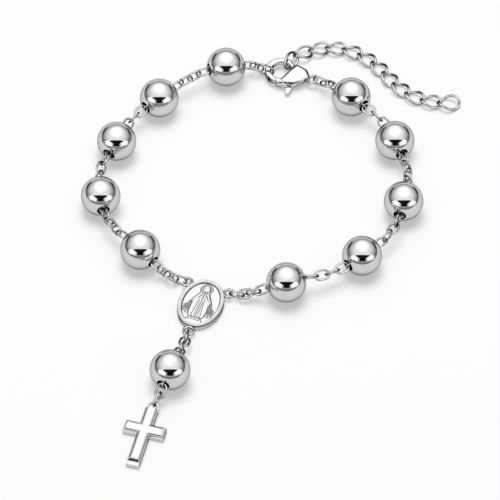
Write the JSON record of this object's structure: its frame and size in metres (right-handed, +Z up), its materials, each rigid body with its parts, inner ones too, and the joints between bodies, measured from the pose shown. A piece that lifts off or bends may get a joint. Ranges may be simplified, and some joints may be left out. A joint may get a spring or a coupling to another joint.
{
  "type": "rosary bracelet",
  "caption": "Polished steel bracelet of round beads on cable chain, with an oval relief medal, a pendant bead and cross, a lobster clasp and an extension chain.",
  "frame": {"origin": "centre of the medal's flat back, on the surface the bracelet lies on", "axes": "+Z up from the surface; +Y from the medal across the loop to the clasp; +X to the picture's right"},
  "size_m": [0.0774, 0.1076, 0.008],
  "materials": {
    "bead_steel": "mirror-polished stainless steel",
    "chain_steel": "polished stainless steel",
    "medal_steel": "cast relief, polished with darkened hollows",
    "cross_steel": "polished stainless steel",
    "clasp_steel": "polished stainless steel",
    "core_steel": "plain steel, hidden in the beads"
  },
  "bodies": {
    "bracelet": {"bead_01": "bead_steel", "bead_02": "bead_steel", "bead_03": "bead_steel", "bead_04": "bead_steel", "bead_05": "bead_steel", "bead_06": "bead_steel", "bead_07": "bead_steel", "bead_08": "bead_steel", "bead_09": "bead_steel", "bead_10": "bead_steel", "bead_pendant": "bead_steel", "chain_01": "chain_steel", "chain_02": "chain_steel", "chain_03": "chain_steel", "chain_04": "chain_steel", "chain_05": "chain_steel", "chain_06": "chain_steel", "chain_07": "chain_steel", "chain_08": "chain_steel", "chain_09": "chain_steel", "chain_10": "chain_steel", "chain_11": "chain_steel", "chain_12": "chain_steel", "chain_medal_pendant": "chain_steel", "chain_pendant_cross": "chain_steel", "medal": "medal_steel", "cross": "cross_steel", "clasp_body": "clasp_steel", "chain_extension": "chain_steel", "core_pins": "core_steel"},
    "lever": {"clasp_lever": "clasp_steel"}
  },
  "joints": [
    {"name": "clasp_lever", "type": "hinge", "parent": "bracelet", "child": "lever", "pos_m": [0.0205, 0.05821, 0.00165], "axis": [0, 0, -1], "range_deg": [0, 24], "stiffness_Nm_per_rad": 0.005}
  ]
}
